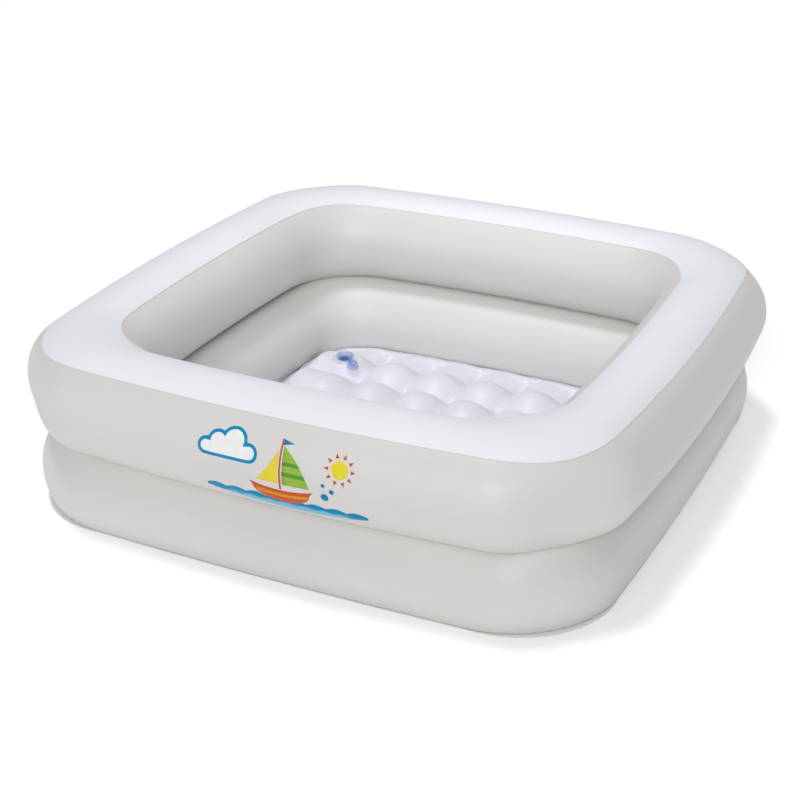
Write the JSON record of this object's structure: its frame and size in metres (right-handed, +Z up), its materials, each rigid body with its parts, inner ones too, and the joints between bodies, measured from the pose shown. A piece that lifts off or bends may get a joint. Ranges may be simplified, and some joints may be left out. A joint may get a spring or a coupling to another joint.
{
  "type": "inflatable baby tub",
  "caption": "Square inflatable baby tub of stacked air rings with rounded corners, a bubble-padded floor and plugged air valves.",
  "frame": {"origin": "on the ground under the middle of the tub, at the underside of the base sheet", "axes": "+Z up, -Y towards the front side, +X to the right as seen from the front; the ring valves are on the +Y side"},
  "size_m": [0.8664, 0.8735, 0.2388],
  "materials": {
    "grey_vinyl": "warm light-grey PVC sheet with a satin sheen",
    "white_vinyl": "cool white PVC sheet, matt",
    "floor_vinyl": "white PVC sheet with a slight violet tint, satin",
    "valve_vinyl": "soft translucent moulded PVC, blue collar on a nearly clear flange",
    "stopper_vinyl": "soft blue moulded PVC, glossy"
  },
  "bodies": {
    "tub": {"upper_outer_wall": "grey_vinyl", "upper_inner_wall": "grey_vinyl", "top_panel": "white_vinyl", "ring_partition": "grey_vinyl", "lower_outer_wall": "grey_vinyl", "lower_inner_wall": "grey_vinyl", "base_sheet": "floor_vinyl", "floor_sheet": "floor_vinyl", "floor_valve_body": "valve_vinyl", "upper_valve_body": "valve_vinyl", "lower_valve_body": "valve_vinyl"},
    "floor_stopper": {"floor_valve_stopper": "stopper_vinyl"},
    "upper_stopper": {"upper_valve_stopper": "stopper_vinyl"},
    "lower_stopper": {"lower_valve_stopper": "stopper_vinyl"},
    "floor_flap": {"floor_valve_flap": "valve_vinyl"},
    "upper_flap": {"upper_valve_flap": "valve_vinyl"},
    "lower_flap": {"lower_valve_flap": "valve_vinyl"}
  },
  "joints": [
    {"name": "floor_stopper_swing", "type": "hinge", "parent": "tub", "child": "floor_stopper", "pos_m": [-0.18145, 0.15575, 0.0355], "axis": [-0.6293, -0.7771, 0], "range_deg": [0, 208]},
    {"name": "upper_stopper_swing", "type": "hinge", "parent": "tub", "child": "upper_stopper", "pos_m": [-0.06992, 0.43739, 0.14252], "axis": [-0.9998, -0.0216, 0.0001], "range_deg": [0, 205]},
    {"name": "lower_stopper_swing", "type": "hinge", "parent": "tub", "child": "lower_stopper", "pos_m": [0.06795, 0.42113, 0.03769], "axis": [-0.9999, 0.0152, -0.002], "range_deg": [0, 205]},
    {"name": "floor_flap_hinge", "type": "hinge", "parent": "tub", "child": "floor_flap", "pos_m": [-0.20073, 0.17135, 0.0191], "axis": [0.6293, 0.7771, 0], "range_deg": [0, 40], "stiffness_Nm_per_rad": 0.001, "springref_deg": -5.73},
    {"name": "upper_flap_hinge", "type": "hinge", "parent": "tub", "child": "upper_flap", "pos_m": [-0.06961, 0.42316, 0.16862], "axis": [-0.9998, -0.0216, 0.0001], "range_deg": [0, 40], "stiffness_Nm_per_rad": 0.001, "springref_deg": -5.73},
    {"name": "lower_flap_hinge", "type": "hinge", "parent": "tub", "child": "lower_flap", "pos_m": [0.06761, 0.40163, 0.06014], "axis": [-0.9999, 0.0152, -0.002], "range_deg": [0, 40], "stiffness_Nm_per_rad": 0.001, "springref_deg": -5.73}
  ]
}
